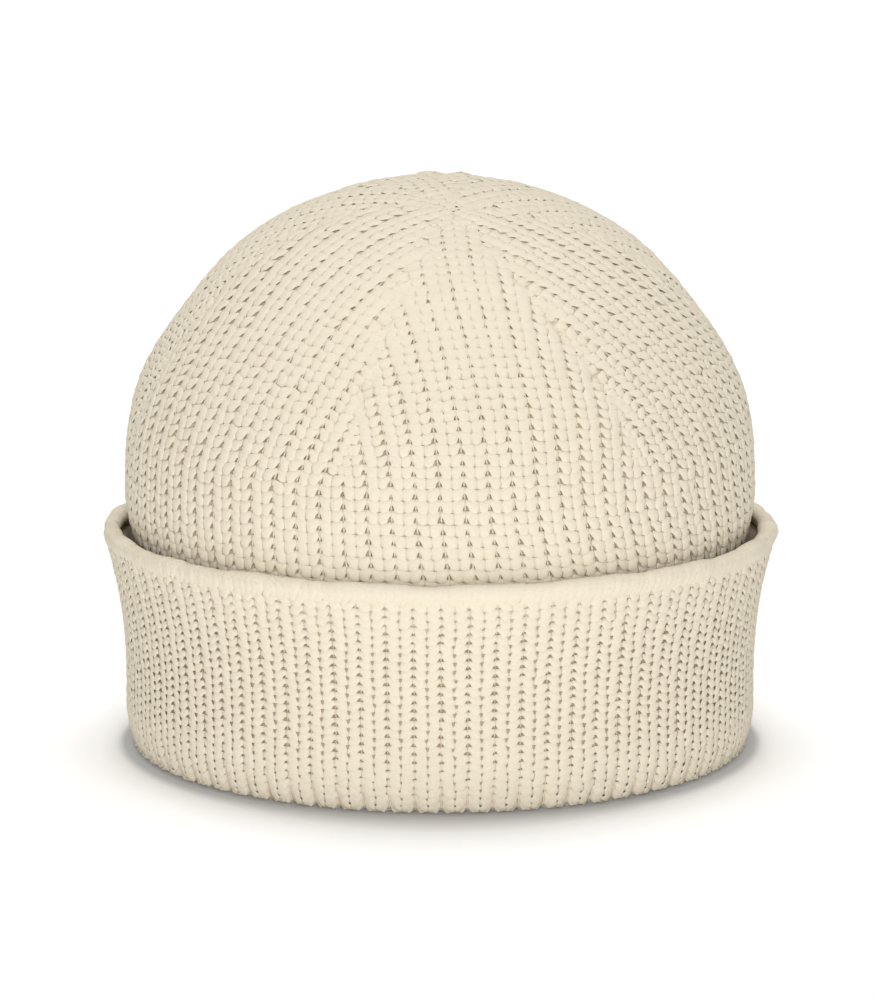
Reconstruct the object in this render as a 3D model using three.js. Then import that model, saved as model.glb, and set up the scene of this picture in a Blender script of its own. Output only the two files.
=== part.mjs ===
// Fisherman beanie: a hollow cap in 1x1 rib knit, with a deep turned-up cuff, standing on its folded rim.
// Millimetres. +Z is up, the front faces -Y, and the origin is on the floor under the middle of the cap.
// Turns are measured round the cap from the front towards +X, in degrees.

import * as THREE from "three";

// Driving dimensions: the crown
const CROWN_WIDTH = 172.1;
const CROWN_DEPTH = 197.9;
const DOME_RISE = 84.6; // from the crown's widest ring to its top
const BULGE_RISE = 15; // from the cuff's top up to the widest ring
const NARROWING_RISE = 15; // from the widest ring up to where the first ribs end
const POLE_FORWARD = 34; // from the middle of the cap to the gathered pole
const POLE_ASIDE = 3.5;

// Driving dimensions: the knit
const KNIT_THICKNESS = 4.2; // over the ribs of both faces
const RIB_DEPTH = 1.2; // from a rib down to the groove beside it
const CREASE_DEPTH = 0.6; // of the lines where ribs end, below the grooves
const POLE_DIMPLE = 1.4;
const POLE_FADE = 0.7; // share of the ribs' relief that is lost by the time they reach the pole
const RIBS_IN_GORE = 13;

// Driving dimensions: the cuff and its welt
const CUFF_WIDTH = 172.4; // over the cuff's waist
const CUFF_DEPTH = 198.3;
const CUFF_HEIGHT = 55.2; // from the floor to the seam under the welt
const FOLD_TOP = 8.7; // where the cuff's fold ends and the crown's wall begins
const FOLD_ROUND = 12; // height over which the fold rounds under
const FOLD_TUCK = 3.9; // from the cuff's face in to the edge of the part that lies flat
const FLAT_WIDTH = 3.3; // of the ring that the cap rests on
const WELT_THICKNESS = 5.4;
const WELT_HEIGHT = 5.6;
const SLIT_SIDE = 1.7; // between the crown and the welt, at the sides
const SLIT_FRONT = 0.6; // the same, at the front and back
const SEAM_GAP = 0.35; // clearance that pieces lying against each other keep

// The lines where the crown's ribs end. base is the line's turn where it starts, and bend is how far
// it has swung, in degrees, by the time it reaches the pole. There is one gore between two lines.
const LINES = [
  { base: -75, bend: -30 },
  { base: -17, bend: -5 },
  { base: 38, bend: -18 },
  { base: 97, bend: -9 },
  { base: 165, bend: 13 },
  { base: 226, bend: -4 },
];
const EVEN_START = -76; // turn of the first line's groove in the cuff, where the ribs are evenly spaced

const LAST_ROW_WAY = 0.972; // share of the way to the pole where the last rib of a gore ends
const ROW_BOW = 0.1; // how far a row lags at the lines, as a share of its distance to the pole

// The dome's outline: at each tilt from the vertical, its reach as a share of a plain oval dome's.
const DOME_OUTLINE = [
  { tilt: 0, reach: 1 },
  { tilt: 20, reach: 1.005 },
  { tilt: 38, reach: 1.01 },
  { tilt: 54, reach: 1.001 },
  { tilt: 70, reach: 1.016 },
  { tilt: 90, reach: 1 },
];

// Rows of the cuff above its fold. rise is a share of the cuff's height, and open is the share of the
// slit at the cuff's top that it stands off the crown there.
const BULGE_FOOT = 0.83; // share of the cuff's height where the crown starts to bulge
const CUFF_ROWS = [
  { rise: 0.52, open: 0.03 },
  { rise: BULGE_FOOT, open: 1 },
  { rise: 1, open: 1 },
];

// Heights of the crown's wall, as shares of the way from the foot of its bulge to its widest ring
const WALL_ROWS = [0, 0.4, 0.7, 1];
const LINING_ROWS = [0, 0.55, 1];

const WELT_COLUMNS = 72;
const WELT_CORNERS = 6;
const YARN = { color: 0xf0e4c8, roughness: 0.95, metalness: 0 };

// Sizes that follow from the ones above
const DEGREE = Math.PI / 180;
const WIDEST_RISE = CUFF_HEIGHT + BULGE_RISE;
const BULGE_START = CUFF_HEIGHT * BULGE_FOOT;
const WALL_FOOT = FOLD_TOP + SEAM_GAP;
const WELT_BASE = CUFF_HEIGHT + SEAM_GAP;
const COLUMNS = LINES.length * RIBS_IN_GORE * 2;
const GORE_ROWS = Math.ceil(RIBS_IN_GORE / 2); // two ribs end from one row to the next
const CROWN = { side: CROWN_WIDTH / 2, front: CROWN_DEPTH / 2 };
const CUFF = { side: CUFF_WIDTH / 2, front: CUFF_DEPTH / 2 };
const WALL = inset(CUFF, KNIT_THICKNESS + SEAM_GAP); // the crown's wall inside the cuff
const NARROWING_TILT = Math.acos(NARROWING_RISE / DOME_RISE);

// Half sizes of an oval ring, drawn in by a distance all round
function inset(ring, distance) {
  return { side: ring.side - distance, front: ring.front - distance };
}

function between(from, to, share) {
  return { side: mix(from.side, to.side, share), front: mix(from.front, to.front, share) };
}

function mix(from, to, share) {
  return from + (to - from) * share;
}

function smooth(share) {
  const held = Math.min(Math.max(share, 0), 1);
  return held * held * (3 - 2 * held);
}

// A smooth curve through a table's rows, read at one value of its first column
function readTable(rows, key, column, at) {
  const last = rows.length - 2;
  const found = rows.findIndex((row, index) => index <= last && at <= rows[index + 1][key]);
  const index = found < 0 ? last : found;
  const slope = (row) => {
    const before = rows[row - 1];
    const after = rows[row + 1];
    return before && after ? (after[column] - before[column]) / (after[key] - before[key]) : 0;
  };
  const [low, high] = [rows[index], rows[index + 1]];
  const span = high[key] - low[key];
  const t = (at - low[key]) / span;
  return (
    (2 * t ** 3 - 3 * t ** 2 + 1) * low[column] +
    (t ** 3 - 2 * t ** 2 + t) * span * slope(index) +
    (3 * t ** 2 - 2 * t ** 3) * high[column] +
    (t ** 3 - t ** 2) * span * slope(index + 1)
  );
}

// The crown's outer half sizes at a height below its widest ring
function wallRing(rise) {
  const share = Math.min(Math.max((rise - BULGE_START) / (WIDEST_RISE - BULGE_START), 0), 1);
  return between(WALL, CROWN, Math.sin((share * Math.PI) / 2) ** 2);
}

// The cuff's inner half sizes at its top, clear of the crown up to the welt's top
function cuffMouth() {
  const crown = wallRing(Math.min(WELT_BASE + WELT_HEIGHT, WIDEST_RISE));
  return { side: crown.side + SLIT_SIDE, front: crown.front + SLIT_FRONT };
}

// The cuff's inner half sizes at a height, standing off the crown's wall by a share of its slit
function cuffLining(rise, open) {
  const against = inset(wallRing(rise), -SEAM_GAP);
  const mouth = cuffMouth();
  const top = inset(wallRing(CUFF_HEIGHT), -SEAM_GAP);
  return {
    side: against.side + open * (mouth.side - top.side),
    front: against.front + open * (mouth.front - top.front),
  };
}

function ovalPoint(ring, turn, rise) {
  return new THREE.Vector3(ring.side * Math.sin(turn), -ring.front * Math.cos(turn), rise);
}

// A closed mesh under construction
class Skin {
  constructor() {
    this.points = [];
    this.faces = [];
  }

  add(point) {
    this.points.push(point.x, point.y, point.z);
    return this.points.length / 3 - 1;
  }

  face(a, b, c, inward) {
    this.faces.push(...(inward ? [a, c, b] : [a, b, c]));
  }

  // Joins two closed rings of the same count; the band faces away from the axis unless it is inward.
  band(lower, upper, inward = false) {
    lower.forEach((a, index) => {
      const next = (index + 1) % lower.length;
      this.face(a, lower[next], upper[next], inward);
      this.face(a, upper[next], upper[index], inward);
    });
  }

  geometry() {
    const geometry = new THREE.BufferGeometry();
    geometry.setAttribute("position", new THREE.Float32BufferAttribute(this.points, 3));
    geometry.setIndex(this.faces);
    geometry.computeVertexNormals();
    return geometry;
  }
}

// The directions, from the middle of the widest ring, of the pole and of the narrowing ring
function tiltedDirection(tilt, turn) {
  return new THREE.Vector3(Math.sin(tilt) * Math.sin(turn), -Math.sin(tilt) * Math.cos(turn), Math.cos(tilt));
}

function poleDirection() {
  const x = POLE_ASIDE / CROWN.side;
  const y = -POLE_FORWARD / CROWN.front;
  return new THREE.Vector3(x, y, Math.sqrt(1 - x * x - y * y));
}

function domePoint(direction, depth) {
  const tilt = Math.acos(direction.z) / DEGREE;
  const reach = readTable(DOME_OUTLINE, "tilt", "reach", tilt);
  const half = inset(CROWN, depth);
  return new THREE.Vector3(
    half.side * reach * direction.x,
    half.front * reach * direction.y,
    WIDEST_RISE + (DOME_RISE - depth) * reach * direction.z,
  );
}

// A direction on the great circle from the narrowing ring to the pole
function meridianDirection(turn, way) {
  const start = tiltedDirection(NARROWING_TILT, turn);
  const pole = poleDirection();
  const arc = start.angleTo(pole);
  start.multiplyScalar(Math.sin((1 - way) * arc));
  return start.addScaledVector(pole, Math.sin(way * arc)).divideScalar(Math.sin(arc));
}

function lineTurn(line, way) {
  const wrapped = LINES[line % LINES.length];
  const laps = Math.floor(line / LINES.length);
  return (wrapped.base + wrapped.bend * way ** 2 + 360 * laps) * DEGREE;
}

// A point of one gore: across runs from 0 at its first line to 1 at its second.
function goreDirection(gore, way, across) {
  const turn = mix(lineTurn(gore, way), lineTurn(gore + 1, way), across);
  const lag = 1 + ROW_BOW * smooth(way * 2) * (2 * across - 1) ** 2;
  return meridianDirection(turn, 1 - (1 - way) * lag);
}

// The turn of a half rib in the wall: evenly spaced by the cuff, gathered to the gores at their start
function columnTurn(column, rise) {
  const inGore = column % (RIBS_IN_GORE * 2);
  const gore = (column - inGore) / (RIBS_IN_GORE * 2);
  const gathered = mix(lineTurn(gore, 0), lineTurn(gore + 1, 0), inGore / (RIBS_IN_GORE * 2));
  const even = (EVEN_START + (360 * column) / COLUMNS) * DEGREE;
  return mix(even, gathered, smooth((rise - BULGE_START) / (WIDEST_RISE + NARROWING_RISE - BULGE_START)));
}

function isRib(column) {
  return column % 2 === 1;
}

// The part of one face of the crown above the narrowing ring. depths says how far below the crown's
// outline its ribs, grooves, lines and pole lie. Returns the ring of points that it starts from.
function addGores(skin, depths, inward) {
  const pointOf = (gore, row, across, depth) => {
    const way = (LAST_ROW_WAY * row) / (GORE_ROWS - 1);
    const relief = (depth - depths.rib) * (1 - POLE_FADE * way ** 4);
    return skin.add(domePoint(goreDirection(gore, way, across), depths.rib + relief));
  };
  const lines = Array.from({ length: GORE_ROWS }, (_, row) => {
    const crease = row > 0 ? CREASE_DEPTH : 0;
    return LINES.map((_line, gore) => pointOf(gore, row, 0, depths.groove + crease));
  });
  const goreRow = (gore, row) => {
    const halfRibs = 2 * (RIBS_IN_GORE - 2 * row);
    const points = [lines[row][gore]];
    for (let half = 1; half < halfRibs; half += 1) {
      points.push(pointOf(gore, row, half / halfRibs, isRib(half) ? depths.rib : depths.groove));
    }
    points.push(lines[row][(gore + 1) % LINES.length]);
    return points;
  };
  const pole = skin.add(domePoint(poleDirection(), depths.pole));
  const start = [];
  LINES.forEach((_line, gore) => {
    let lower = goreRow(gore, 0);
    start.push(...lower.slice(0, -1));
    for (let row = 1; row < GORE_ROWS; row += 1) {
      const upper = goreRow(gore, row);
      addNarrowing(skin, lower, upper, inward);
      lower = upper;
    }
    lower.slice(0, -1).forEach((point, index) => skin.face(point, lower[index + 1], pole, inward));
  });
  return start;
}

// Joins two rows of a gore: the ribs that both have run on, and one rib ends at each side.
function addNarrowing(skin, lower, upper, inward) {
  const end = upper.length - 1;
  for (let half = 0; half < end; half += 1) {
    skin.face(lower[half + 2], lower[half + 3], upper[half + 1], inward);
    skin.face(lower[half + 2], upper[half + 1], upper[half], inward);
  }
  for (let half = 0; half < 2; half += 1) {
    skin.face(lower[half], lower[half + 1], upper[0], inward);
    skin.face(lower[end + 2 + half], lower[end + 3 + half], upper[end], inward);
  }
}

// Rings of the crown's wall from its foot up to the widest ring, for one of its faces
function addWall(skin, shares, depths) {
  const rises = [WALL_FOOT, ...shares.map((share) => mix(BULGE_START, WIDEST_RISE, share))];
  return rises.map((rise) =>
    Array.from({ length: COLUMNS }, (_, column) => {
      const ring = inset(wallRing(rise), isRib(column) ? depths.rib : depths.groove);
      return skin.add(ovalPoint(ring, columnTurn(column, rise), rise));
    }),
  );
}

function crownGeometry() {
  const skin = new Skin();
  const faces = [
    { inward: false, rows: WALL_ROWS, rib: 0, groove: RIB_DEPTH, pole: POLE_DIMPLE },
    {
      inward: true,
      rows: LINING_ROWS,
      rib: KNIT_THICKNESS - RIB_DEPTH,
      groove: KNIT_THICKNESS,
      pole: KNIT_THICKNESS + POLE_DIMPLE,
    },
  ];
  const feet = faces.map((face) => {
    const rings = [...addWall(skin, face.rows, face), addGores(skin, face, face.inward)];
    rings.slice(1).forEach((ring, index) => skin.band(rings[index], ring, face.inward));
    return rings[0];
  });
  skin.band(feet[1], feet[0]);
  return skin.geometry();
}

// One turn of the cuff's outline, from the edge of its flat foot up its face, down its lining and round
// the fold. ribs is 1 where the outer face's ribs stand, -1 where the inner face's do, and else 0.
function cuffOutline() {
  const face = inset(WALL, -SEAM_GAP - KNIT_THICKNESS);
  const insideFold = inset(WALL, KNIT_THICKNESS);
  const flatOutside = inset(face, FOLD_TUCK);
  const flatInside = inset(flatOutside, FLAT_WIDTH);
  const lining = CUFF_ROWS.map(({ rise, open }) => ({
    ring: cuffLining(rise * CUFF_HEIGHT, open),
    rise: rise * CUFF_HEIGHT,
    ribs: 0,
  }));
  return [
    { ring: flatOutside, rise: 0, ribs: 1 },
    { ring: inset(face, FOLD_TUCK / 2), rise: FOLD_ROUND / 4, ribs: 1 },
    { ring: face, rise: FOLD_ROUND, ribs: 1 },
    ...lining.map(({ ring, rise }) => ({ ring: inset(ring, -KNIT_THICKNESS), rise, ribs: 1 })),
    ...lining.reverse(),
    { ring: inset(WALL, -SEAM_GAP), rise: FOLD_TOP, ribs: 0 },
    { ring: insideFold, rise: FOLD_TOP, ribs: -1 },
    { ring: between(insideFold, flatInside, 0.3), rise: FOLD_TOP / 4, ribs: -1 },
    { ring: flatInside, rise: 0, ribs: 0 },
  ];
}

// The cuff shows the knit's other face, so its ribs stand where the crown's grooves are.
function cuffGeometry() {
  const skin = new Skin();
  const rings = cuffOutline().map(({ ring, rise, ribs }) =>
    Array.from({ length: COLUMNS }, (_, column) => {
      const sunk = ribs !== 0 && isRib(column) ? RIB_DEPTH * ribs : 0;
      const turn = (EVEN_START + (360 * column) / COLUMNS) * DEGREE;
      return skin.add(ovalPoint(inset(ring, sunk), turn, rise));
    }),
  );
  rings.forEach((ring, index) => skin.band(ring, rings[(index + 1) % rings.length]));
  return skin.geometry();
}

// The welt is a rounded roll that lies along the cuff's top.
function weltGeometry() {
  const skin = new Skin();
  const middle = inset(cuffMouth(), -WELT_THICKNESS / 2);
  const flatTop = Math.cos(Math.PI / WELT_CORNERS);
  const rings = Array.from({ length: WELT_CORNERS }, (_, corner) => {
    const angle = (2 * Math.PI * (corner + 0.5)) / WELT_CORNERS - Math.PI / 2;
    const ring = inset(middle, (-WELT_THICKNESS / 2) * Math.cos(angle));
    const rise = WELT_BASE + (WELT_HEIGHT / 2) * (1 + Math.sin(angle) / flatTop);
    return Array.from({ length: WELT_COLUMNS }, (_column, column) =>
      skin.add(ovalPoint(ring, (2 * Math.PI * column) / WELT_COLUMNS, rise)),
    );
  });
  rings.forEach((ring, index) => skin.band(ring, rings[(index + 1) % rings.length]));
  return skin.geometry();
}

function knitMesh(name, geometry) {
  const mesh = new THREE.Mesh(geometry, new THREE.MeshStandardMaterial(YARN));
  mesh.name = name;
  return mesh;
}

const beanie = new THREE.Group();
beanie.add(knitMesh("crown", crownGeometry()));
beanie.add(knitMesh("cuff", cuffGeometry()));
beanie.add(knitMesh("cuff_welt", weltGeometry()));

export default beanie;
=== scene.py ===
# A fisherman beanie in cream cotton yarn, knitted stitch by stitch over the frame's solids.
# Knitted surfaces are worked out in millimetres, as in the solids, and the meshes are in metres.
# Turns are measured round the cap from the front towards +X, in degrees.
# The crown has six gores with a line between each two, where ribs end on the way to the pole.

import math

import bpy
import numpy as np
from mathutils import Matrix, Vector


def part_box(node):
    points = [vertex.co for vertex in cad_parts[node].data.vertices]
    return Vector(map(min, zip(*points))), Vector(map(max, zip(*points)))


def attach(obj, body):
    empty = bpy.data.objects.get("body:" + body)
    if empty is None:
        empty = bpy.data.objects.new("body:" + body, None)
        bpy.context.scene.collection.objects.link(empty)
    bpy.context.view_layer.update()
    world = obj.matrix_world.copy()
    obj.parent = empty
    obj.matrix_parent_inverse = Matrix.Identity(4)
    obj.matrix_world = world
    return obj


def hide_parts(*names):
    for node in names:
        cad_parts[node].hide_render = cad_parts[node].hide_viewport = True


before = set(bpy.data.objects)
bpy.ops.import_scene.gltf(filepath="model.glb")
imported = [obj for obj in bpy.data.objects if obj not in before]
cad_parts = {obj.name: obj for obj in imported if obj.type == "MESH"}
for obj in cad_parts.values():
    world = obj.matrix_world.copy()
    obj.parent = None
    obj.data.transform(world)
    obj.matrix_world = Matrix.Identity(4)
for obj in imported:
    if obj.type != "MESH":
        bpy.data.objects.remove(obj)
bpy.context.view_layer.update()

MM = 0.001
SEED = 7
rng = np.random.default_rng(SEED)


def box_mm(node):
    low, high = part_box(node)
    return np.array(low) / MM, np.array(high) / MM


# The solids' sizes, in millimetres. A pair is to the side and to the front.
CROWN_LOW, CROWN_HIGH = box_mm("crown")
WELT_LOW, WELT_HIGH = box_mm("cuff_welt")
CROWN = (CROWN_HIGH - CROWN_LOW)[:2] / 2  # half sizes
CUFF_HEIGHT = box_mm("cuff")[1][2]
CUFF_WAIST = np.array([172.4, 198.3]) / 2  # half sizes
KNIT_THICKNESS = 4.2
SEAM_GAP = 0.35  # between the crown's wall and the cuff
WALL = CUFF_WAIST - KNIT_THICKNESS - SEAM_GAP  # half sizes of the crown's wall inside the cuff
BULGE_RISE = 15.0  # from the cuff's top up to the crown's widest ring
BULGE_FOOT = 0.83  # share of the cuff's height where the crown starts to bulge
NARROWING_RISE = 15.0  # from the widest ring up to where the first ribs end
DOME_RISE = 84.6  # from the widest ring to the top
BULGE_START = BULGE_FOOT * CUFF_HEIGHT
WIDEST_RISE = CUFF_HEIGHT + BULGE_RISE
NARROWING_RING = WIDEST_RISE + NARROWING_RISE
POLE_OFFSET = np.array([3.5, 34.0])  # of the gathered pole from the middle, aside and forward
FOLD_TOP = 8.7  # where the cuff's fold ends and the crown's wall begins
FOLD_ROUND = 12.0  # height over which the fold rounds under
FOLD_TUCK = 3.9  # from the cuff's face in to the flat ring that the cap rests on
FLAT_WIDTH = 3.3
FOLD_RUN = CUFF_HEIGHT - FOLD_ROUND  # how far down the cuff's face the fold starts

# The knit's ribs, lines and courses
RIBS_IN_GORE = 13
LINE_TURN = np.array([-75.0, -17.0, 38.0, 97.0, 165.0, 226.0])  # at the narrowing ring
LINE_BEND = np.array([-30.0, -5.0, -18.0, -9.0, 13.0, -4.0])  # how far they turn up to the pole
GORES = len(LINE_TURN)
RIBS = GORES * RIBS_IN_GORE
EVEN_START = -76.0  # turn of the first line in the cuff, where the ribs are evenly spaced
ROW_BOW = 0.1  # how far a course lags at the lines, as a share of its distance to the pole
WALL_COURSE = 3.0  # height of a course in the crown's wall
WALL_COURSES = 12
GORE_COURSES = np.array([30, 31, 34, 42, 46, 41])  # from the narrowing ring to the pole
CUFF_COURSE = 2.25


def smooth(share):
    held = np.clip(share, 0.0, 1.0)
    return held * held * (3.0 - 2.0 * held)


def ease(value, start, end):
    """0 up to start and 1 from end on, with a smooth step between them."""
    return smooth((value - start) / (end - start))


def bell(value, width):
    """1 where the value is 0, fading on both sides."""
    return np.exp(-((value / width) ** 2))


def unit(vectors):
    return vectors / np.maximum(np.linalg.norm(vectors, axis=-1, keepdims=True), 1e-9)


def hermite(keys, values, at):
    """A smooth curve through a table, level at both of its ends."""
    slopes = np.zeros(len(keys))
    slopes[1:-1] = (values[2:] - values[:-2]) / (keys[2:] - keys[:-2])
    low = np.clip(np.searchsorted(keys, at, side="right") - 1, 0, len(keys) - 2)
    span = keys[low + 1] - keys[low]
    t = np.clip((at - keys[low]) / span, 0.0, 1.0)
    return (
        (2 * t**3 - 3 * t**2 + 1) * values[low]
        + (t**3 - 2 * t**2 + t) * span * slopes[low]
        + (3 * t**2 - 2 * t**3) * values[low + 1]
        + (t**3 - t**2) * span * slopes[low + 1]
    )


def oval_point(half, turn, rise):
    """A point on an oval with these half sizes, at a turn in radians."""
    return np.stack([half[..., 0] * np.sin(turn), -half[..., 1] * np.cos(turn), rise], -1)


# The crown's surface
DOME_TILTS = np.array([0.0, 20.0, 38.0, 54.0, 70.0, 90.0])  # degrees from upright
DOME_REACH = np.array([1.0, 1.005, 1.01, 1.001, 1.016, 1.0])  # as a share of an ellipsoid's there
PUCKERS = ((-3.2, 21.0, 1.1), (6.4, 21.0, 0.9))  # swells behind the top: aside, back, height
PUCKER_SPREAD = (3.2, 10.0)  # how wide they are, aside and back


def wall_half(rise):
    """Half sizes of the crown at a height below its widest ring."""
    share = np.clip((rise - BULGE_START) / (WIDEST_RISE - BULGE_START), 0.0, 1.0)
    blend = np.sin(share * math.pi / 2) ** 2
    return WALL + (CROWN - WALL) * blend[..., None]


def tilted(tilt, turn):
    """A direction from the middle of the widest ring, tilted from upright. Both are in radians."""
    tilt, turn = np.broadcast_arrays(tilt, turn)
    aside = np.sin(tilt) * np.sin(turn)
    back = -np.sin(tilt) * np.cos(turn)
    return np.stack([aside, back, np.cos(tilt)], -1)


def pole_direction():
    x = POLE_OFFSET[0] / CROWN[0]
    y = -POLE_OFFSET[1] / CROWN[1]
    return np.array([x, y, math.sqrt(1 - x * x - y * y)])


def dome_point(direction, depth):
    tilt = np.degrees(np.arccos(np.clip(direction[..., 2], -1.0, 1.0)))
    reach = hermite(DOME_TILTS, DOME_REACH, tilt)
    point = np.empty(direction.shape)
    point[..., 0] = (CROWN[0] - depth) * reach * direction[..., 0]
    point[..., 1] = (CROWN[1] - depth) * reach * direction[..., 1]
    point[..., 2] = WIDEST_RISE + (DOME_RISE - depth) * reach * direction[..., 2]
    for aside, back, height in PUCKERS:
        swell = bell(point[..., 0] - aside, PUCKER_SPREAD[0])
        point[..., 2] += height * swell * bell(point[..., 1] - back, PUCKER_SPREAD[1])
    return point


def line_turn(line, way):
    """The turn of a line between gores. Lines can be counted on past a whole lap."""
    lap = 360.0 * (line // GORES)
    return LINE_TURN[line % GORES] + LINE_BEND[line % GORES] * way**2 + lap


def meridian(turn, way):
    """A direction on the great circle from the narrowing ring to the pole."""
    start = tilted(math.acos(NARROWING_RISE / DOME_RISE), turn)
    pole = pole_direction()
    arc = np.arccos(np.clip((start * pole).sum(-1), -1.0, 1.0))[..., None]
    part = way[..., None]
    return (start * np.sin((1 - part) * arc) + pole * np.sin(part * arc)) / np.sin(arc)


def crown_point(gore, across, course, depth):
    """A point of the crown. course counts up from the narrowing ring, below 0 in the wall."""
    gore, across, course, depth = np.broadcast_arrays(gore, across, course, depth)
    way = np.clip(course / GORE_COURSES[gore], 0.0, 1.0)
    line = line_turn(gore, way)
    turn = line + (line_turn(gore + 1, way) - line) * across
    lag = 1.0 + ROW_BOW * ease(way, 0.0, 0.5) * (2 * across - 1) ** 2
    narrowing = meridian(np.radians(turn), 1 - (1 - way) * lag)
    rise = NARROWING_RING + np.minimum(course, 0.0) * WALL_COURSE
    even = EVEN_START + 360.0 * (gore + across) / GORES
    gather = ease(rise, BULGE_START, NARROWING_RING)
    wall_turn = np.radians(even + (turn - even) * gather)
    tilt = np.arccos(np.clip((rise - WIDEST_RISE) / DOME_RISE, 0.0, 1.0))
    direction = np.where((course < 0)[..., None], tilted(tilt, wall_turn), narrowing)
    wall = oval_point(wall_half(rise) - depth[..., None], wall_turn, rise)
    return np.where((rise < WIDEST_RISE)[..., None], wall, dome_point(direction, depth))


# How many ribs a gore has room for, from its width at even steps on the way to the pole
SPAN_STEPS = 50
SPAN_POINTS = 13  # across the gore
RIB_SPREAD = 0.12  # how much wider a rib is at the pole than at the narrowing ring
FEWEST_RIBS = 0.3


def gore_spans():
    """The width of each gore at even steps from the narrowing ring to the pole."""
    ways = np.linspace(0.0, 1.0, SPAN_STEPS + 1)
    way, across = np.meshgrid(ways, np.linspace(0.0, 1.0, SPAN_POINTS), indexing="ij")
    spans = []
    for gore in range(GORES):
        points = crown_point(gore, across, way * GORE_COURSES[gore], 0.0)
        spans.append(np.linalg.norm(np.diff(points, axis=1), axis=2).sum(axis=1))
    return np.array(spans)


SPANS = gore_spans()


def ribs_left(gore, course):
    """How many ribs a gore still has at a course, as many as its width holds."""
    gore, course = np.broadcast_arrays(gore, course)
    step = np.clip(course / GORE_COURSES[gore], 0.0, 1.0) * SPAN_STEPS
    low = np.minimum(step.astype(int), SPAN_STEPS - 1)
    span = SPANS[gore, low] + (SPANS[gore, low + 1] - SPANS[gore, low]) * (step - low)
    spread = 1 + RIB_SPREAD * step / SPAN_STEPS
    return np.maximum(RIBS_IN_GORE * span / SPANS[gore, 0] / spread, FEWEST_RIBS)


# The cuff's surface: its face from the welt down, round the fold and up into the wall
FLARE = np.array([4.7, 3.4])  # how far the cuff's top stands out from its waist
FLARE_START = 22.0
FLARE_CURVE = 1.9  # the power of its curve
FLARE_END = 1.1  # where it stops above the cuff's top, as a share of its rise
FACE_POINTS = 60
ROUND_POINTS = 24
PROFILE_STEP = 0.5


def cuff_profile():
    """Distance run, inset from the waist with height, and outward normal, at even steps."""
    face = [(0.0, z) for z in np.linspace(CUFF_HEIGHT, FOLD_ROUND, FACE_POINTS)]
    turn = np.linspace(0.0, math.pi / 2, ROUND_POINTS)[1:]
    outer = [(FOLD_TUCK * (1 - math.cos(a)), FOLD_ROUND * (1 - math.sin(a))) for a in turn]
    flat_end = FOLD_TUCK + FLAT_WIDTH
    width = KNIT_THICKNESS * 2 + SEAM_GAP - flat_end
    inner = [(flat_end + width * math.sin(a), FOLD_TOP * (1 - math.cos(a))) for a in turn]
    rough = np.array(face + outer + [(flat_end, 0.0)] + inner)
    run = np.concatenate([[0.0], np.cumsum(np.linalg.norm(np.diff(rough, axis=0), axis=1))])
    even_run = np.arange(0.0, run[-1], PROFILE_STEP)
    points = np.stack([np.interp(even_run, run, column) for column in rough.T], 1)
    tangent = unit(np.gradient(points, axis=0))
    return even_run, points, np.stack([-tangent[:, 1], -tangent[:, 0]], 1)


CUFF_RUN, CUFF_POINTS, CUFF_NORMALS = cuff_profile()
CUFF_LENGTH = CUFF_RUN[-1]


def cuff_point(rib, run, depth):
    """A point of the cuff. rib counts from the first line's groove, and run down from the top."""
    rib, run, depth = np.broadcast_arrays(rib, run, depth)
    inset = np.interp(run, CUFF_RUN, CUFF_POINTS[:, 0])
    rise = np.interp(run, CUFF_RUN, CUFF_POINTS[:, 1]) + np.maximum(-run, 0.0)
    out = np.interp(run, CUFF_RUN, CUFF_NORMALS[:, 0])
    up = np.interp(run, CUFF_RUN, CUFF_NORMALS[:, 1])
    share = np.clip((rise - FLARE_START) / (CUFF_HEIGHT - FLARE_START), 0.0, FLARE_END)
    flare = FLARE * (share**FLARE_CURVE)[..., None]
    half = CUFF_WAIST + flare - inset[..., None] - (depth * out)[..., None]
    return oval_point(half, np.radians(EVEN_START + 360.0 * rib / RIBS), rise - depth * up)


NORMAL_STEP = 0.5


def on_surface(surface, u, v, depth):
    """Points of a surface at a depth, and the directions outward from them."""
    point = surface(u, v, depth)
    return point, unit(surface(u, v, depth - NORMAL_STEP) - point)


# Meshes, made from arrays
def numbered(shape, start=0):
    """A grid of point numbers, counted on from start."""
    return start + np.arange(math.prod(shape)).reshape(shape)


def grid_quads(index):
    """Quads between the rows of a grid of point numbers, where each row closes into a ring."""
    ahead = np.roll(index, -1, axis=-1)
    here, there = np.s_[..., :-1, :], np.s_[..., 1:, :]
    return np.stack([index[here], ahead[here], ahead[there], index[there]], -1).reshape(-1, 4)


def fan(first, second, hub):
    """Triangles between two runs of point numbers and one more point."""
    return np.stack([first, second, np.full(len(first), hub)], -1)


def place(name, data):
    thing = bpy.data.objects.new(name, data)
    bpy.context.scene.collection.objects.link(thing)
    return thing


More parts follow.
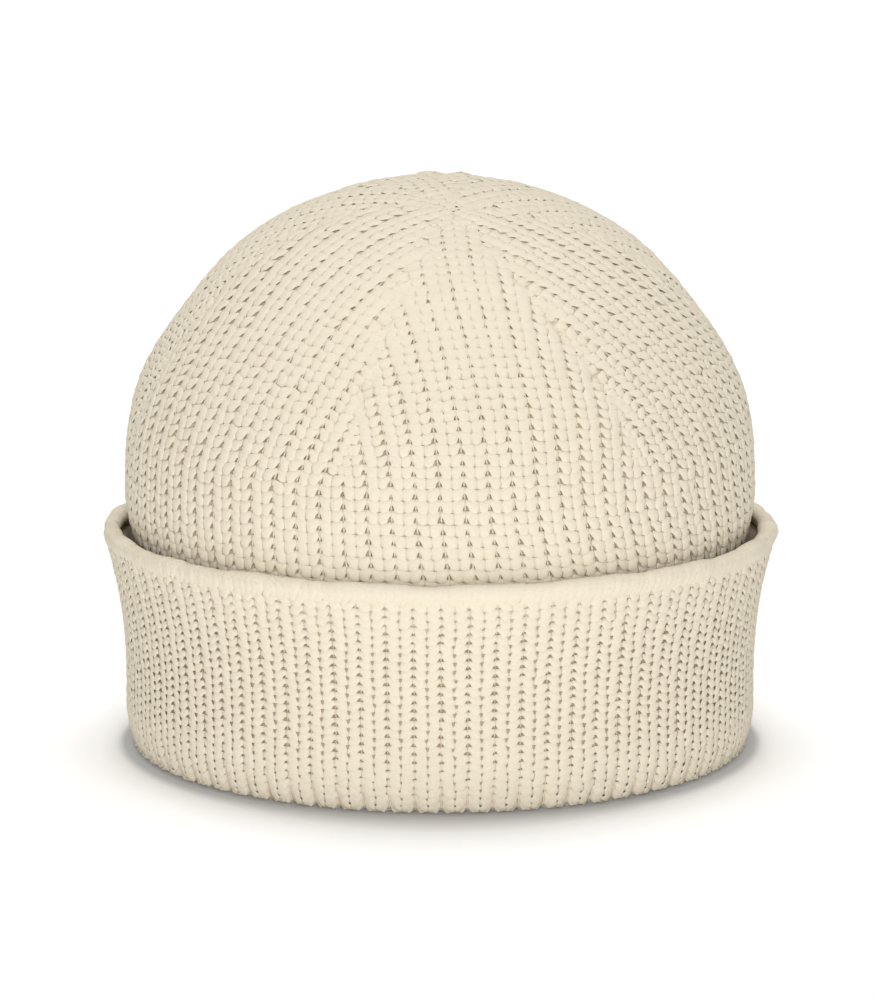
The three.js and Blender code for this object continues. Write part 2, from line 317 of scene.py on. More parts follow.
def make_piece(name, points, quads, triangles, sunk, material):
    """A mesh object. sunk says how deep in the knit each point lies, which the material turns into
    painted shade.
    """
    mesh = bpy.data.meshes.new(name)
    points = points.copy()
    points[:, 2] = np.maximum(points[:, 2], 0.0)
    corners = np.concatenate([quads.ravel(), triangles.ravel()]).astype(np.int32)
    sizes = np.repeat([4, 3], [len(quads), len(triangles)])
    starts = np.concatenate([[0], np.cumsum(sizes)[:-1]])
    mesh.vertices.add(len(points))
    mesh.vertices.foreach_set("co", (points * MM).astype(np.float32).ravel())
    mesh.loops.add(len(corners))
    mesh.loops.foreach_set("vertex_index", corners)
    mesh.polygons.add(len(sizes))
    mesh.polygons.foreach_set("loop_start", starts.astype(np.int32))
    mesh.polygons.foreach_set("use_smooth", np.ones(len(sizes), bool))
    mesh.update(calc_edges=True)
    mesh.validate()
    layer = mesh.attributes.new("sunk", "FLOAT", "POINT")
    layer.data.foreach_set("value", sunk.astype(np.float32))
    mesh.materials.append(material)
    return place(name, mesh)


# The section of a yarn: an underside in two flats, and a top that is a gentle swell
TUBE_ANGLES = np.radians([-90.0, 0.0, 50.0, 90.0, 130.0, 180.0])
SIDES = len(TUBE_ANGLES)
EDGE_SIDES = (1, SIDES - 1)  # the corners between the underside and the top


class Tubes:
    """Many closed yarn tubes that become one piece."""

    def __init__(self):
        self.points = []
        self.quads = []
        self.caps = []
        self.sunk = []
        self.count = 0

    def add(self, middle, outward, width, height, depth):
        """middle and outward are tubes x rings x 3, and the others are tubes x rings.

        width and height are half sizes, and depth is how deep the middle lies in the knit."""
        along = unit(np.gradient(middle, axis=1))
        side = unit(np.cross(along, outward))
        up = unit(np.cross(side, along))
        cos = np.cos(TUBE_ANGLES)[:, None]
        sin = np.sin(TUBE_ANGLES)[:, None]
        ring = (
            middle[:, :, None]
            + side[:, :, None] * cos * width[:, :, None, None]
            + up[:, :, None] * sin * height[:, :, None, None]
        )
        self.points.append(ring.reshape(-1, 3))
        # How deep each point lies, which the material turns into painted shade
        self.sunk.append((depth[:, :, None] - np.sin(TUBE_ANGLES) * height[:, :, None]).ravel())
        index = numbered(ring.shape[:3], self.count)
        self.quads.append(grid_quads(index)[:, [0, 3, 2, 1]])  # so that they face outward
        for s in range(1, SIDES - 1):
            self.caps.append(index[:, 0][:, [0, s, s + 1]])
            self.caps.append(index[:, -1][:, [0, s + 1, s]])
        self.count += index.size

    def add_core(self, rows, depth):
        """A closed tube under the others, added last. Its rows of points run round the cap."""
        index = numbered(rows.shape[:2], self.count)
        self.points.append(rows.reshape(-1, 3))
        self.sunk.append(np.full(index.size, depth))
        self.quads.append(grid_quads(np.concatenate([index, index[:1]])))

    def build(self, name, material):
        lists = (self.points, self.quads, self.caps, self.sunk)
        points, quads, caps, sunk = [np.concatenate(arrays) for arrays in lists]
        piece = make_piece(name, points, quads, caps, sunk, material)
        self.part_halves(piece.data)
        return piece

    def part_halves(self, mesh):
        """Sharp edges between the tubes' tops and undersides, so that the tops shade as swells."""
        ends = np.empty(len(mesh.edges) * 2, np.int32)
        mesh.edges.foreach_get("vertices", ends)
        first, second = ends.reshape(-1, 2).T
        side = first % SIDES
        along = (side == second % SIDES) & (np.maximum(first, second) < self.count)
        layer = mesh.attributes.new("sharp_edge", "BOOLEAN", "EDGE")
        layer.data.foreach_set("value", along & np.isin(side, EDGE_SIDES))


# One leg of a stitch, from its foot at the middle of the rib to its head over the groove.
# Columns: half ribs across, courses up, depth of its middle, half width, half height.
CROWN_LEG = np.array([
    [-0.05, 0.16, 0.96, 0.98, 0.30],
    [0.18, 0.20, 0.80, 1.32, 0.30],
    [0.40, 0.38, 0.70, 1.66, 0.30],
    [0.60, 0.58, 0.76, 1.18, 0.31],
    [0.82, 0.74, 0.94, 0.88, 0.34],
    [1.06, 0.80, 1.04, 0.90, 0.33],
])
CUFF_LEG = np.array([
    [-0.05, 0.18, 0.92, 0.62, 0.28],
    [0.14, 0.21, 0.82, 0.76, 0.26],
    [0.36, 0.38, 0.72, 1.52, 0.25],
    [0.60, 0.58, 0.76, 1.28, 0.26],
    [0.83, 0.71, 0.88, 0.78, 0.28],
    [1.06, 0.75, 0.94, 0.76, 0.28],
])
MOVE_JITTER = (0.022, 0.022, 0.06, 0.06)  # of a stitch aside and up, and of each leg's depth
SIZE_JITTER = 0.05
SIDE_OPEN = 0.13  # how much narrower the legs are where the knit faces sideways and is stretched
LEG_RISE = 0.8  # courses that a leg climbs over its half rib
LEG_SPACING = 2.33  # between two legs, one above the other, where the widths above are true
LEG_SHARES = (0.45, 1.45)  # the least and the most that a leg's width follows the spacing


def both(values):
    """A value of each stitch for the first of its legs, and again for the second."""
    return np.concatenate([values, values])


def legs(surface, rib, course, table):
    """Both legs of each stitch: middles, outward directions, half sizes and depth of each ring."""
    across, up, deep, wide, high = table.T
    moves = rng.normal(0.0, 1.0, (len(rib), 4)) * MOVE_JITTER
    size = (1.0 + rng.normal(0.0, SIZE_JITTER, (len(rib), 2))).T.reshape(-1, 1)
    side = np.repeat([[1.0], [-1.0]], len(rib), axis=0)
    u = both(rib)[:, None] + side * (across * 0.5) + both(moves[:, 0])[:, None]
    v = both(course)[:, None] + up + both(moves[:, 1])[:, None]
    depth = deep + moves[:, 2:].T.reshape(-1, 1)
    middle, outward = on_surface(surface, u, v, depth)
    width = wide * size * (1 - SIDE_OPEN * outward[..., 0] ** 2)
    return middle, outward, width, high * size, depth


# The thin strands that show upright between the holes of each groove
STRAND_START = 0.1  # how far above the wall's lowest course they start, in courses
STRAND_ROOM = 0.7  # ribs that a gore has beyond a groove before its strand ends
CROWN_STRAND = (1.35, 0.29)  # depth and radius
CUFF_STRAND = (1.45, 0.22)


def add_strands(tubes, surface, groove, along, strand):
    """Strands in grooves; groove and along are the surface's first two values for each ring."""
    groove, along = np.broadcast_arrays(groove, along)
    depth = np.full(groove.shape, strand[0])
    radius = np.full(groove.shape, strand[1])
    middle, outward = on_surface(surface, groove, along, depth)
    tubes.add(middle, outward, radius, radius, depth)


# The crown's knit
LINE_MARGIN = 0.05  # how far a leg has to reach in from a line to be knitted, in ribs
LINE_REACH = 0.5  # how far a line changes the knit beside it, in ribs
LINE_START = 2.0  # courses above the narrowing ring over which that sets in
LINE_SWELL = 0.15  # how much wider the legs beside a line are
LINE_GROOVE = 0.3  # how deep the faint groove along a line is
LINE_GROOVE_WIDTH = 0.35
LINE_GROOVE_START = 3.0
GORE_SWELL = [0.12, 0.22, 0.06, 0.12, 0.12, 0.12]  # how much wider each gore's legs get higher up
GORE_SWELL_WAYS = (0.05, 0.6)  # shares of the way to the pole between which that sets in
# Short creases where a rib ends at a line: the line, how far along it, half their length, depth
CREASES = (
    (1, 0.31, 0.035, 1.0),
    (1, 0.52, 0.03, 0.6),
    (1, 0.74, 0.03, 0.5),
    (2, 0.33, 0.04, 1.0),
    (2, 0.50, 0.045, 1.2),
    (2, 0.68, 0.03, 0.5),
    (0, 0.45, 0.03, 0.5),
    (3, 0.40, 0.03, 0.5),
)
CREASE_WIDTH = 0.16
CREASE_GAP = 0.04  # how far the stitches stop from a line in a crease, in ribs


def creased(gore, across, course):
    """How strongly one of the short creases shows at a place beside a line."""
    line = (gore + (across > 0.5)) % GORES
    strength = np.zeros(np.shape(across))
    for crease_line, way, length, depth in CREASES:
        along = (course / GORE_COURSES[gore] - way) / length
        strength = strength + depth * (line == crease_line) * np.exp(-(along**4))
    return strength


def line_depth(gore, across, left, course):
    """How much deeper the knit lies beside a line: a faint groove along it, and short creases."""
    edge = np.minimum(across, 1 - across) * left  # ribs away from the nearest line
    groove = LINE_GROOVE * bell(edge, LINE_GROOVE_WIDTH) * ease(course, 0.0, LINE_GROOVE_START)
    return groove + creased(gore, across, course) * bell(edge, CREASE_WIDTH)


def gore_surface(gore):
    """A gore's knit, as a surface of ribs from its middle, courses and depth."""
    def surface(rib, course, depth):
        left = ribs_left(gore, course)
        across = 0.5 + rib / left
        gap = CREASE_GAP * creased(gore, across, course) / left
        across = np.clip(across, gap, 1 - gap)
        return crown_point(gore, across, course, depth + line_depth(gore, across, left, course))

    return surface


def gore_stitches(gore):
    """The rib and the course of each stitch of a gore and of the wall under it."""
    courses = np.arange(-WALL_COURSES, GORE_COURSES[gore])
    ribs = np.arange(RIBS_IN_GORE) - RIBS_IN_GORE // 2
    course, rib = np.meshgrid(courses, ribs, indexing="ij")
    kept = np.abs(rib) - 0.5 < ribs_left(gore, course) / 2
    return rib[kept].astype(float), course[kept].astype(float)


def leg_shares(gore, rib, course):
    """How wide each leg is for the room up to the next one above, as a share of the table's."""
    left = ribs_left(gore, course)
    across = 0.5 + rib / left
    here = crown_point(gore, across, course, 0.0)
    beside = crown_point(gore, across + 0.5 / left, course, 0.0) - here
    above = crown_point(gore, across, course + 1.0, 0.0) - here
    area = np.linalg.norm(np.cross(beside, above), axis=1)
    lengths = [np.linalg.norm(side * beside + LEG_RISE * above, axis=1) for side in (1.0, -1.0)]
    spacing = np.concatenate([area / length for length in lengths])
    return np.clip(spacing / LEG_SPACING, *LEG_SHARES)


def knit_gore(gore, material):
    """The outer stitches of one gore and of the wall under it."""
    tubes = Tubes()
    surface = gore_surface(gore)
    rib, course = gore_stitches(gore)
    middle, outward, width, height, depth = legs(surface, rib, course, CROWN_LEG)
    room = both(ribs_left(gore, course)) / 2
    ends = np.abs([both(rib), np.concatenate([rib + 0.5, rib - 0.5])])
    kept = ends.min(axis=0) < room - LINE_MARGIN
    to_line = np.maximum(room - ends.mean(axis=0), 0.0)
    by_line = LINE_SWELL * bell(to_line, LINE_REACH) * ease(both(course), 0.0, LINE_START)
    by_pole = GORE_SWELL[gore] * ease(both(course) / GORE_COURSES[gore], *GORE_SWELL_WAYS)
    swell = leg_shares(gore, rib, course) * ((1 + by_line) * (1 + by_pole))
    width = width * swell[:, None]
    tubes.add(middle[kept], outward[kept], width[kept], height[kept], depth[kept])
    heights = np.arange(-WALL_COURSES + STRAND_START, GORE_COURSES[gore])
    for groove in np.arange(-RIBS_IN_GORE / 2, RIBS_IN_GORE / 2):
        has_room = ribs_left(gore, heights) > 2 * abs(groove) + STRAND_ROOM
        strand_run = heights[(heights < 0) | has_room]
        add_strands(tubes, surface, groove, strand_run[None], CROWN_STRAND)
    return tubes.build(f"crown_knit_{gore + 1}", material)


# The cuff's knit
CUFF_PARTS = 3
EDGE_SWELL = 0.18  # how much wider the legs are under the cast-on edge
EDGE_RUN = 20.0  # how far down that fades out
FOLD_SWELL = 0.22  # how much wider they are round the fold
FOLD_SWELL_RUNS = (-5.0, 3.0)  # from the fold's start, where that sets in
RIM_NOTCH = 1.1  # how far the grooves are drawn in at the rim
RIM_NOTCH_RUN = 11.0  # past the fold's start
RIM_NOTCH_SPREAD = (0.2, 6.0)  # in ribs across, and along the run


def rim_notch(rib, run):
    """How far a groove between ribs is drawn in where the cuff's face turns under."""
    across = bell(np.abs((rib % 1.0) - 0.5), RIM_NOTCH_SPREAD[0])
    return RIM_NOTCH * across * bell(run - FOLD_RUN - RIM_NOTCH_RUN, RIM_NOTCH_SPREAD[1])


def cuff_surface(rib, course, depth):
    """The cuff's knit, in courses counted from the end of its fold inside."""
    run = CUFF_LENGTH - course * CUFF_COURSE
    return cuff_point(rib, run, depth + rim_notch(rib, run))


def knit_cuff(part, material):
    """The stitches of one part of the cuff, over its face and round the fold."""
    tubes = Tubes()
    ribs = np.arange(part * RIBS // CUFF_PARTS, (part + 1) * RIBS // CUFF_PARTS)
    courses = np.arange(math.ceil(CUFF_LENGTH / CUFF_COURSE))
    grid = np.meshgrid(ribs.astype(float), courses.astype(float), indexing="ij")
    rib, course = [values.ravel() for values in grid]
    middle, outward, width, height, depth = legs(cuff_surface, rib, course, CUFF_LEG)
    run = CUFF_LENGTH - both(course) * CUFF_COURSE
    under_edge = 1 - ease(run, 0.0, EDGE_RUN)
    round_fold = ease(run - FOLD_RUN, *FOLD_SWELL_RUNS)
    width = width * (1 + EDGE_SWELL * under_edge + FOLD_SWELL * round_fold)[:, None]
    tubes.add(middle, outward, width, height, depth)
    runs = np.arange(0.0, CUFF_LENGTH, CUFF_COURSE)
    add_strands(tubes, cuff_point, ribs[:, None] + 0.5, runs[None], CUFF_STRAND)
    return tubes.build(f"cuff_knit_{part + 1}", material)


# The backing behind the outer stitches, and the inner faces with the ribs inside. How deep their
# points lie also sets the painted shade, darkest in the holes.
CROWN_BACKING = (1.0, 2.1)  # how deep it lies at the middle of a rib and in a groove
CUFF_BACKING = (1.6, 2.1)
CUFF_TOP_BACKING = 1.3  # behind the welt
CUFF_TOP_RUNS = (3.0, 13.0)  # between these runs it sinks to its depths further down
GROOVE_EDGES = (0.4, 0.8)  # where a groove starts beside a rib and where it is at its deepest
CROWN_COLUMNS = 6  # points of the crown's shell for each rib
CUFF_COLUMNS = 4
BACKING_STEP = 5.0
INNER_STEP = 1.5
CUFF_STEP = 2.2
GORE_LENGTH = 100.0  # roughly, from the narrowing ring to the pole
LAST_ROW = 0.99  # share of the way to the pole where the shell's rows end
POLE_LIFT = 0.6  # share of a groove's depth that the backing loses towards the pole
POLE_LIFT_WAYS = (0.45, 0.85)
# How deep the pole's points count for the painted shade
POLE_SUNK = 1.0
CROWN_RELIEF = 1.2  # of the stitches on the inner faces
CUFF_RELIEF = 0.9
CROWN_INNER_SUNK = 0.7  # how deep their ribs count for the painted shade in the yarn's colour
CUFF_INNER_SUNK = 0.9
RELIEF_LEAN = 1.05  # courses that a stitch climbs from the middle of its rib to the groove
RELIEF_LOW = 0.35  # height between two stitches
RELIEF_CURVE = 0.7
RELIEF_GROOVE = 0.8  # share of the height that is lost in the middle of a groove
RELIEF_EDGE = 0.55  # where that begins


def off_rib(rib):
    """0 at the middle of a rib and 1 at the middle of the groove beside it."""
    return np.abs(((rib + 0.5) % 1.0) * 2 - 1)


def between(pair, share):
    return pair[0] + (pair[1] - pair[0]) * share


def knit_relief(rib, course):
    """Height of an inner face over its grooves, from 0 to 1, with the legs of its stitches."""
    off = off_rib(rib)
    leg = 0.5 - 0.5 * np.cos(2 * math.pi * ((course - RELIEF_LEAN * off) % 1.0))
    height = RELIEF_LOW + (1 - RELIEF_LOW) * leg**RELIEF_CURVE
    return height * (1 - ease(off, RELIEF_EDGE, 1.0) * RELIEF_GROOVE)


def crown_row(gore, across, course, inner):
    """One ring of the crown's shell, as points and how deep they are sunk, which sets the painted
    shade.
    """
    left = ribs_left(gore, course)
    rib = (across - 0.5) * left
    if inner:
        sunk = CROWN_RELIEF * (1 - knit_relief(rib + 0.5, course))
        return crown_point(gore, across, course, KNIT_THICKNESS - sunk), sunk + CROWN_INNER_SUNK
    edge = np.minimum(across, 1 - across) * left
    by_line = 1 - bell(edge, LINE_REACH) * ease(course, 0.0, LINE_START)
    by_pole = 1 - POLE_LIFT * ease(course / GORE_COURSES[gore], *POLE_LIFT_WAYS)
    groove = ease(off_rib(rib), *GROOVE_EDGES)
    sunk = between(CROWN_BACKING, groove * by_line * by_pole)
    depth = sunk + line_depth(gore, across, left, course)
    return crown_point(gore, across, course, depth), sunk


def crown_rows(step, inner):
    """The rings of one face of the crown's shell, and how deep their points are sunk, which sets
    the painted shade.
    """
    in_gore = RIBS_IN_GORE * CROWN_COLUMNS
    gore, column = np.divmod(np.arange(GORES * in_gore), in_gore)
    across = column / in_gore
    wall = (np.arange(FOLD_TOP, NARROWING_RING, step) - NARROWING_RING) / WALL_COURSE
    rows = [crown_row(gore, across, np.full(len(gore), course), inner) for course in wall]
    rows += [
        crown_row(gore, across, way * GORE_COURSES[gore], inner)
        for way in np.arange(0.0, LAST_ROW, step / GORE_LENGTH)
    ]
    points, sunk = zip(*rows)
    return np.array(points), np.array(sunk)


def crown_shell(material):
    """The crown's backing and its inner face, closed at the foot and at the pole."""
    outer_rows, outer_sunk = crown_rows(BACKING_STEP, False)
    inner_rows, inner_sunk = crown_rows(INNER_STEP, True)
    outer = numbered(outer_rows.shape[:2])
    inner = numbered(inner_rows.shape[:2], outer.size)
    hub = outer.size + inner.size
    depths = (CROWN_BACKING[0], KNIT_THICKNESS)
    pole = [crown_point(0, 0.5, GORE_COURSES[0], depth) for depth in depths]
    points = np.concatenate([outer_rows.reshape(-1, 3), inner_rows.reshape(-1, 3), pole])
    sunk = np.concatenate([outer_sunk.ravel(), inner_sunk.ravel(), [POLE_SUNK, POLE_SUNK]])
    foot = grid_quads(np.stack([inner[0], outer[0]]))
    quads = np.concatenate([grid_quads(outer), grid_quads(inner)[:, ::-1], foot])
    caps = np.concatenate([
        fan(outer[-1], np.roll(outer[-1], -1), hub),
        fan(np.roll(inner[-1], -1), inner[-1], hub + 1),
    ])
    return make_piece("crown_backing", points, quads, caps, sunk, material)


def cuff_shell(material):
    """The cuff's backing, and the face that the turned-up band shows the crown."""
    rib = np.arange(RIBS * CUFF_COLUMNS)[None] / CUFF_COLUMNS
    run = np.arange(0.0, CUFF_LENGTH, CUFF_STEP)[:, None]
    lower_sunk = between(CUFF_BACKING, ease(off_rib(rib), *GROOVE_EDGES))
    outer_sunk = between((CUFF_TOP_BACKING, lower_sunk), ease(run, *CUFF_TOP_RUNS))
    outer_rows = cuff_point(rib, run, outer_sunk + rim_notch(rib, run))
    run = np.arange(0.0, CUFF_HEIGHT - FOLD_TOP, CUFF_STEP)[:, None]
    back_sunk = CUFF_RELIEF * (1 - knit_relief(rib + 0.5, run / CUFF_COURSE))
    back_rows = cuff_point(rib, run, KNIT_THICKNESS - back_sunk)
    outer = numbered(outer_rows.shape[:2])
    back = numbered(back_rows.shape[:2], outer.size)
    loop = np.concatenate([outer[::-1], back, outer[-1:]])
    points = np.concatenate([outer_rows.reshape(-1, 3), back_rows.reshape(-1, 3)])
    # How deep each point lies, for the painted shade
    sunk = np.concatenate([outer_sunk.ravel(), back_sunk.ravel() + CUFF_INNER_SUNK])
    no_caps = np.zeros((0, 3), int)
    return make_piece("cuff_backing", points, grid_quads(loop), no_caps, sunk, material)


# The cast-on edge: a cord of yarn wraps that roll over the cuff's top and run out on its face
WELT = (WELT_HIGH - WELT_LOW)[:2] / 2  # half sizes
WELT_TOP = WELT_HIGH[2]
WRAPS_IN_RIB = 4
WRAPS = RIBS * WRAPS_IN_RIB
WRAP_LEAN = 1.2  # how far a wrap leans along the edge, in wraps
LEAN_START = 0.2  # how far over the roll a wrap is at its own place on the edge
WRAP_WIDTH = 1.75
WRAP_HEIGHT = 0.38
WRAP_DEPTH = 0.42
WRAP_JITTER = {"place": 0.08, "lean": 0.12, "depth": 0.05, "width": 0.08}
WELT_HALF = (2.7, 2.3)  # half sizes of the rolled part, across and up
WELT_INSET = 0.25
WELT_RUN = 3.6  # how far the wraps run down the face below the roll
WELT_SEAT = 0.35  # how deep they lie on the face
WELT_SINK = 0.5  # and how much deeper their ends go
ROLL_TURN = 205.0  # how far they go round
WELT_LUMPS = ((0.24, 0.37, 0.0), (0.16, 0.13, 2.0), (0.10, 0.79, 4.0))  # height, waves, start
ROLL_WAYS = np.linspace(0.0, 1.0, 8)
WRAP_WAYS = np.concatenate([[-1.0, -0.7, -0.35], ROLL_WAYS])
CORE_WAYS = np.concatenate([[-0.8, -0.4], ROLL_WAYS])
CORE_DEPTH = 0.45
# How deep the core counts for the painted shade between the wraps
CORE_SUNK = 1.0


def welt_point(wrap, way, depth):
    """A point of the edge. way is -1 at its lower end, 0 where the roll starts and 1 behind it."""
    wrap, way, depth = np.broadcast_arrays(wrap, way, depth)
    turn = np.radians(EVEN_START + 360.0 * wrap / WRAPS)
    rise = WELT_TOP - WELT_HALF[1]
    lump = sum(height * np.sin(wrap * waves + start) for height, waves, start in WELT_LUMPS)
    angle = np.clip(way, 0.0, 1.0) * math.radians(ROLL_TURN)
    out = (WELT_HALF[0] - WELT_INSET - depth + lump) * np.cos(angle)
    up = (WELT_HALF[1] - WELT_INSET - depth + lump) * np.sin(angle)
    up = up + np.minimum(way, 0.0) * WELT_RUN
    roll = oval_point(WELT - WELT_HALF[0] + out[..., None], turn, rise + up)
    face = cuff_point(wrap / WRAPS_IN_RIB, CUFF_HEIGHT - rise - up, depth + WELT_SEAT)
    return roll + (face - roll) * smooth(-way)[..., None]


def welt(material):
    """The wraps round the cuff's top, over a core that closes the gaps between them."""
    def jitter(kind):
        return rng.normal(0.0, WRAP_JITTER[kind], (WRAPS, 1))

    way = WRAP_WAYS[None]
    wrap = np.arange(WRAPS)[:, None] + jitter("place")
    wrap = wrap + WRAP_LEAN * (way - LEAN_START) * (1 + jitter("lean"))
    depth = WRAP_DEPTH + jitter("depth") + WELT_SINK * smooth(-way)
    width = np.broadcast_to(WRAP_WIDTH + jitter("width"), depth.shape)
    middle, outward = on_surface(welt_point, wrap, way, depth)
    tubes = Tubes()
    tubes.add(middle, outward, width, np.full(depth.shape, WRAP_HEIGHT), depth)
    tubes.add_core(welt_point(np.arange(WRAPS)[None], CORE_WAYS[:, None], CORE_DEPTH), CORE_SUNK)
    return tubes.build("cuff_welt_knit", material)


# Materials
YARN_FINISH = {
    "Roughness": 0.95,
    "Specular IOR Level": 0.15,
    "Sheen Weight": 0.08,
    "Sheen Roughness": 0.6,
}
YARN_TINTS = ((0.3, (0.728, 0.658, 0.524, 1)), (0.7, (0.772, 0.704, 0.571, 1)))  # place, colour
# Painted shade: the warm brown that stands in for the shade in the knit's hollows and holes
PAINTED_SHADE_COLOUR = (0.56, 0.41, 0.21, 1)
PAINTED_SHADE_DEPTHS = (0.75, 2.5)  # depths in the knit between which the painted shade darkens the yarn to that colour
CLOUDS = (130.0, 4.0)  # scale and detail of a noise
SPECKLES = (1300.0, 2.0)
FIBRES = (2600.0, 2.0)
SPECKLE_SHARE = 0.55
FIBRE_BUMP = (0.3, 0.0002)  # strength, and height in metres


def new_material(name, finish):
    """A material, and its shader with plain values set on its own sockets."""
    material = bpy.data.materials.new(name)
    material.use_nodes = True
    shader = material.node_tree.nodes["Principled BSDF"]
    for socket, value in finish.items():
        shader.inputs[socket].default_value = value
    return material, shader


def add_node(tree, kind, inputs, **settings):
    """A node's outputs. Its inputs are values, or outputs of other nodes to be linked to it."""
    node = tree.nodes.new(kind)
    for name, value in settings.items():
        setattr(node, name, value)
    for socket, value in inputs.items():
        if isinstance(value, bpy.types.NodeSocket):
            tree.links.new(value, node.inputs[socket])
        else:
            node.inputs[socket].default_value = value
    return node.outputs


def add_noise(tree, place_of, scale, detail):
    inputs = {"Vector": place_of, "Scale": scale, "Detail": detail}
    return add_node(tree, "ShaderNodeTexNoise", inputs)["Fac"]


def add_ramp(tree, share, stops):
    """Colours along a ramp, from stops of a place and a colour."""
    colour = add_node(tree, "ShaderNodeValToRGB", {"Fac": share})["Color"]
    elements = colour.node.color_ramp.elements
    while len(elements) < len(stops):
        elements.new(0.5)
    for element, (position, stop_colour) in zip(elements, stops):
        element.position = position
        element.color = stop_colour
    return colour


def yarn_material():
    """Cream cotton, with painted shade that turns it warmer and darker the deeper it is sunk in the
    knit.
    """
    material, shader = new_material("cotton_yarn", YARN_FINISH)
    tree = material.node_tree
    place_of = add_node(tree, "ShaderNodeTexCoord", {})["Object"]
    noises = {
        "Factor": SPECKLE_SHARE,
        "A": add_noise(tree, place_of, *CLOUDS),
        "B": add_noise(tree, place_of, *SPECKLES),
    }
    mottle = add_node(tree, "ShaderNodeMix", noises)["Result"]
    tint = add_ramp(tree, mottle, YARN_TINTS)
    # Painted shade: the deeper a point is sunk in the knit, the more the yarn turns to the shade
    # colour
    sunk = add_node(tree, "ShaderNodeAttribute", {}, attribute_name="sunk")["Fac"]
    depths = {"Value": sunk, "From Min": PAINTED_SHADE_DEPTHS[0], "From Max": PAINTED_SHADE_DEPTHS[1]}
    deep = add_node(tree, "ShaderNodeMapRange", depths, interpolation_type="SMOOTHSTEP")["Result"]
    colours = {"Factor": deep, "A": tint, "B": PAINTED_SHADE_COLOUR}
    colour = add_node(tree, "ShaderNodeMix", colours, data_type="RGBA")["Result"]
    tree.links.new(colour, shader.inputs["Base Color"])
    relief = {
        "Height": add_noise(tree, place_of, *FIBRES),
        "Strength": FIBRE_BUMP[0],
        "Distance": FIBRE_BUMP[1],
    }
    tree.links.new(add_node(tree, "ShaderNodeBump", relief)["Normal"], shader.inputs["Normal"])
    return material


# The set: a pale floor with a painted soft shadow round the rim, soft lights and the camera
FLOOR_SIZE = 30.0  # half its width, in metres
FLOOR_WHITE = 0.95
FLOOR_FINISH = {"Roughness": 1.0, "Specular IOR Level": 0.0, "Emission Strength": 0.15}
SHADOW_REACH = 60.0  # how far the painted shadow spreads in front, in millimetres
SHADOW_SQUEEZE = 8.0  # how many times narrower it is at the sides than in front
SHADOW_STOPS = ((0.0, 0.54), (0.08, 0.63), (0.28, 0.86), (0.48, 0.94), (0.7, 0.97), (0.9, 1.0))
# Azimuth from the front towards +X, elevation and width in degrees, and strength
SUNS = {
    "front": (0.0, 15.0, 30.0, 2.1),
    "top": (180.0, 78.0, 50.0, 2.0),
    "back": (180.0, 25.0, 60.0, 0.15),
}
STUDIO_COLOUR = (1.0, 0.94, 0.85, 1)
STUDIO_STRENGTH = 0.15
CAMERA_DISTANCE = 1.4
CAMERA_ELEVATION = math.radians(9.5)
CAMERA_AIM = (-0.00068, 0.0, 0.0658)
CAMERA_LENS = 185.0
CAMERA_SENSOR = 36.0
CAMERA_FAR = 100.0


def add_maths(tree, operation, *values):
    return add_node(tree, "ShaderNodeMath", dict(enumerate(values)), operation=operation)["Value"]


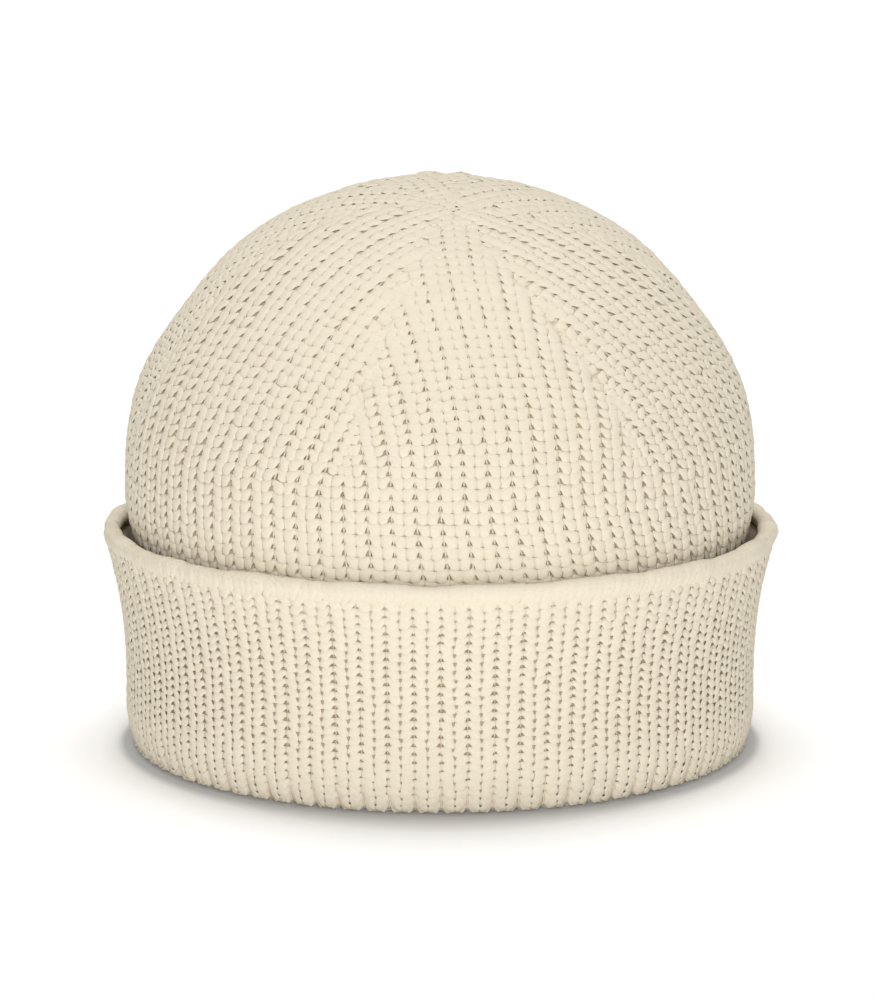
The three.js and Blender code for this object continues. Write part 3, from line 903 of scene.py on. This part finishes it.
def floor_material():
    """White, with a painted shadow, darker near the rim and most of all in front of it. Its faint
    glow carries the painted shadow too.
    """
    material, shader = new_material("floor", FLOOR_FINISH)
    tree = material.node_tree
    place_of = add_node(tree, "ShaderNodeTexCoord", {})["Object"]
    scale = (1 / (CUFF_WAIST[0] * MM), 1 / (CUFF_WAIST[1] * MM), 0.0)
    inputs = {0: place_of, 1: scale}
    oval = add_node(tree, "ShaderNodeVectorMath", inputs, operation="MULTIPLY")["Vector"]
    length = add_node(tree, "ShaderNodeVectorMath", {0: oval}, operation="LENGTH")["Value"]
    back = add_node(tree, "ShaderNodeSeparateXYZ", {"Vector": oval})["Y"]
    behind = add_maths(tree, "DIVIDE", back, length)
    squeeze = add_maths(tree, "MULTIPLY_ADD", behind, SHADOW_SQUEEZE - 1, SHADOW_SQUEEZE)
    away = add_maths(tree, "SUBTRACT", length, 1.0)
    share = add_maths(tree, "MULTIPLY", away, CUFF_WAIST[1] / SHADOW_REACH)
    reach = add_maths(tree, "MULTIPLY", share, squeeze)
    stops = [(position, (FLOOR_WHITE * shade,) * 3 + (1,)) for position, shade in SHADOW_STOPS]
    colour = add_ramp(tree, reach, stops)
    tree.links.new(colour, shader.inputs["Base Color"])
    tree.links.new(colour, shader.inputs["Emission Color"])
    return material


def floor():
    mesh = bpy.data.meshes.new("floor")
    corners = [(x * FLOOR_SIZE, y * FLOOR_SIZE, 0) for x, y in ((-1, -1), (1, -1), (1, 1), (-1, 1))]
    mesh.from_pydata(corners, [], [(0, 1, 2, 3)])
    mesh.materials.append(floor_material())
    place("floor", mesh)


def sun(name, azimuth, elevation, width, strength):
    """A soft light from far away."""
    data = bpy.data.lights.new(name, "SUN")
    data.energy = strength
    data.angle = math.radians(width)
    place(name, data).rotation_euler = (math.radians(90.0 - elevation), 0.0, math.radians(azimuth))


def camera():
    data = bpy.data.cameras.new("camera")
    data.sensor_fit = "VERTICAL"
    data.sensor_height = CAMERA_SENSOR
    data.lens = CAMERA_LENS
    data.clip_end = CAMERA_FAR
    eye = place("camera", data)
    eye.location = (
        CAMERA_AIM[0],
        CAMERA_AIM[1] - CAMERA_DISTANCE * math.cos(CAMERA_ELEVATION),
        CAMERA_AIM[2] + CAMERA_DISTANCE * math.sin(CAMERA_ELEVATION),
    )
    eye.rotation_euler = (math.pi / 2 - CAMERA_ELEVATION, 0.0, 0.0)
    bpy.context.scene.camera = eye


def studio():
    """Even light from all around."""
    world = bpy.data.worlds.new("studio")
    world.use_nodes = True
    background = world.node_tree.nodes["Background"]
    background.inputs["Color"].default_value = STUDIO_COLOUR
    background.inputs["Strength"].default_value = STUDIO_STRENGTH
    bpy.context.scene.world = world
    bpy.context.scene.view_settings.view_transform = "Standard"


yarn = yarn_material()
pieces = [(knit_gore(gore, yarn), "crown") for gore in range(GORES)]
pieces.append((crown_shell(yarn), "crown"))
pieces += [(knit_cuff(part, yarn), "cuff") for part in range(CUFF_PARTS)]
pieces.append((cuff_shell(yarn), "cuff"))
pieces.append((welt(yarn), "cuff_welt"))
for piece, node in pieces:
    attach(piece, "root")
    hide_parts(node)

floor()
camera()
for name, values in SUNS.items():
    sun(name, *values)
studio()
